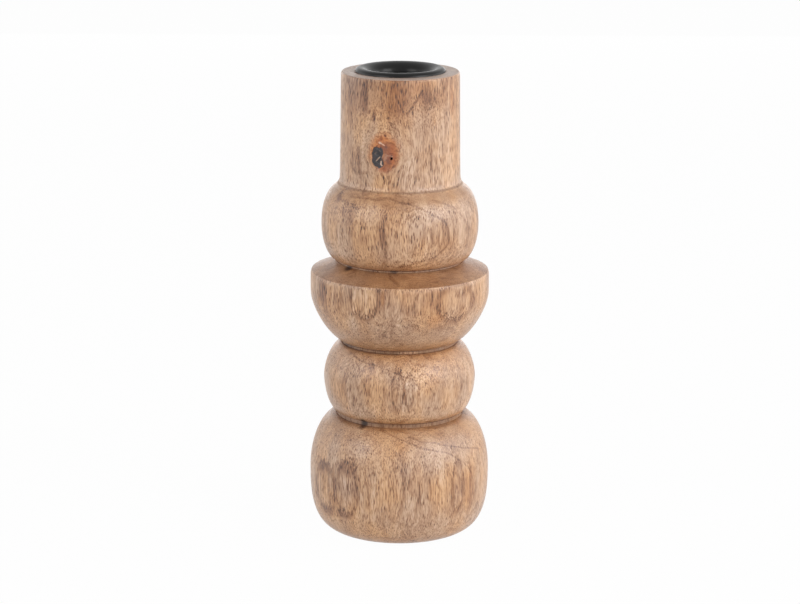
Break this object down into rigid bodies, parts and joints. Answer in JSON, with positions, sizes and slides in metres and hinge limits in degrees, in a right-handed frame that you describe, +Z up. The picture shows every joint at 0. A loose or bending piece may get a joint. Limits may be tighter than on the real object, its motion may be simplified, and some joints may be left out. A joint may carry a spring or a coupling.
{
  "type": "candle holder",
  "caption": "Turned wooden candle holder of stacked rounded forms with a straight collar and a lift-out black metal cup for a dinner candle.",
  "frame": {"origin": "on the surface that the holder stands on, under the middle of its base", "axes": "+Z up along the turning axis, towards the candle cup; -Y faces the picture's camera"},
  "size_m": [0.0766, 0.0766, 0.201],
  "materials": {
    "wood": "open-pored hardwood under a thin clear satin coat",
    "black_metal": "satin black powder coat on pressed steel",
    "felt": "pressed wool felt"
  },
  "bodies": {
    "holder": {"turned_body": "wood", "felt_pad_1": "felt", "felt_pad_2": "felt", "felt_pad_3": "felt", "felt_pad_4": "felt"},
    "cup": {"candle_cup": "black_metal"}
  },
  "joints": [
    {"name": "cup_lift", "type": "slide", "parent": "holder", "child": "cup", "axis": [0, 0, 1], "range_m": [0, 0.03]}
  ]
}
